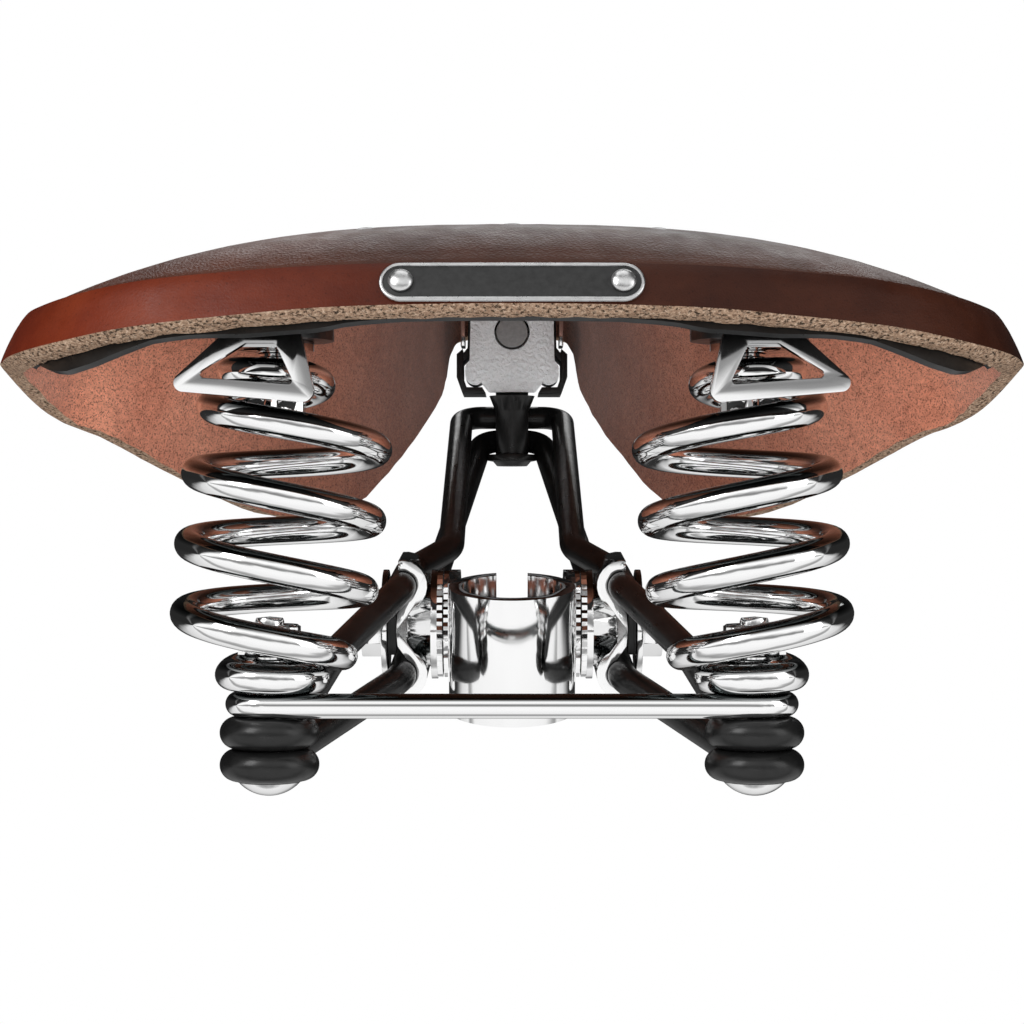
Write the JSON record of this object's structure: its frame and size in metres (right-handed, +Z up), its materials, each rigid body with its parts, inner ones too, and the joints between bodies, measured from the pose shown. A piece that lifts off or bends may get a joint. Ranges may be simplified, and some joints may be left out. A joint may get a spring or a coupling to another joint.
{
  "type": "bicycle saddle",
  "caption": "Sprung leather saddle: tensioned leather top on a twin-rail undercarriage with two coil springs and an adjustable seatpost clamp.",
  "frame": {"origin": "middle of the seatpost bore in the clamp band", "axes": "+X to the rider's right, +Y forward to the nose, +Z up; the bore leans 11 degrees, top towards the rear"},
  "size_m": [0.207, 0.2657, 0.1273],
  "materials": {
    "leather": "waxed, fine grain, rough flesh side",
    "chrome": "mirror polished",
    "black_enamel": "gloss enamel",
    "cast_silver": "fine cast grain",
    "satin_steel": "satin",
    "plate_black": "satin enamel field with a pale border"
  },
  "bodies": {
    "post_clamp": {"post_band": "chrome"},
    "rail_clamp": {"side_plate_left": "chrome", "side_plate_right": "chrome", "cheek_left": "black_enamel", "cheek_right": "black_enamel", "clamp_washers": "chrome", "clamp_bolt": "chrome", "clamp_nut": "chrome"},
    "undercarriage": {"front_shackle": "black_enamel", "shackle_keeper": "black_enamel", "shackle_screw": "black_enamel", "upper_rail": "black_enamel", "lower_rail": "black_enamel", "cross_rod": "chrome", "spring_left": "chrome", "spring_right": "chrome", "lower_bolts": "chrome", "lower_nuts": "chrome"},
    "seat_top": {"leather_top": "leather", "cantle_plate": "black_enamel", "spring_bracket_left": "black_enamel", "spring_bracket_right": "black_enamel", "bag_loop_left": "chrome", "bag_loop_right": "chrome", "upper_bolts": "chrome", "upper_nuts": "chrome", "rear_rivets": "satin_steel", "nose_rivets": "satin_steel", "nameplate": "plate_black", "nameplate_rivets": "satin_steel", "nose_bracket": "black_enamel", "nose_strips": "chrome", "tension_cradle": "cast_silver", "tension_pin": "cast_silver", "pivot_pin": "chrome"},
    "tensioner": {"tension_nut": "satin_steel"}
  },
  "joints": [
    {"name": "seat_tilt", "type": "hinge", "parent": "post_clamp", "child": "rail_clamp", "pos_m": [0, 0.0182, 0.0045], "axis": [1, 0, 0], "range_deg": [-10, 10]},
    {"name": "rail_slide", "type": "slide", "parent": "rail_clamp", "child": "undercarriage", "axis": [0, 0.9976, 0.0698], "range_m": [-0.005, 0.005]},
    {"name": "suspension", "type": "hinge", "parent": "undercarriage", "child": "seat_top", "pos_m": [0, 0.1495, 0.072], "axis": [1, 0, 0], "range_deg": [0, 3.5], "stiffness_Nm_per_rad": 1900, "deforming": ["spring_left", "spring_right"]},
    {"name": "tension_turn", "type": "hinge", "parent": "seat_top", "child": "tensioner", "pos_m": [0, 0.15, 0.0807], "axis": [0, 1, 0], "range_deg": [0, 720]}
  ]
}
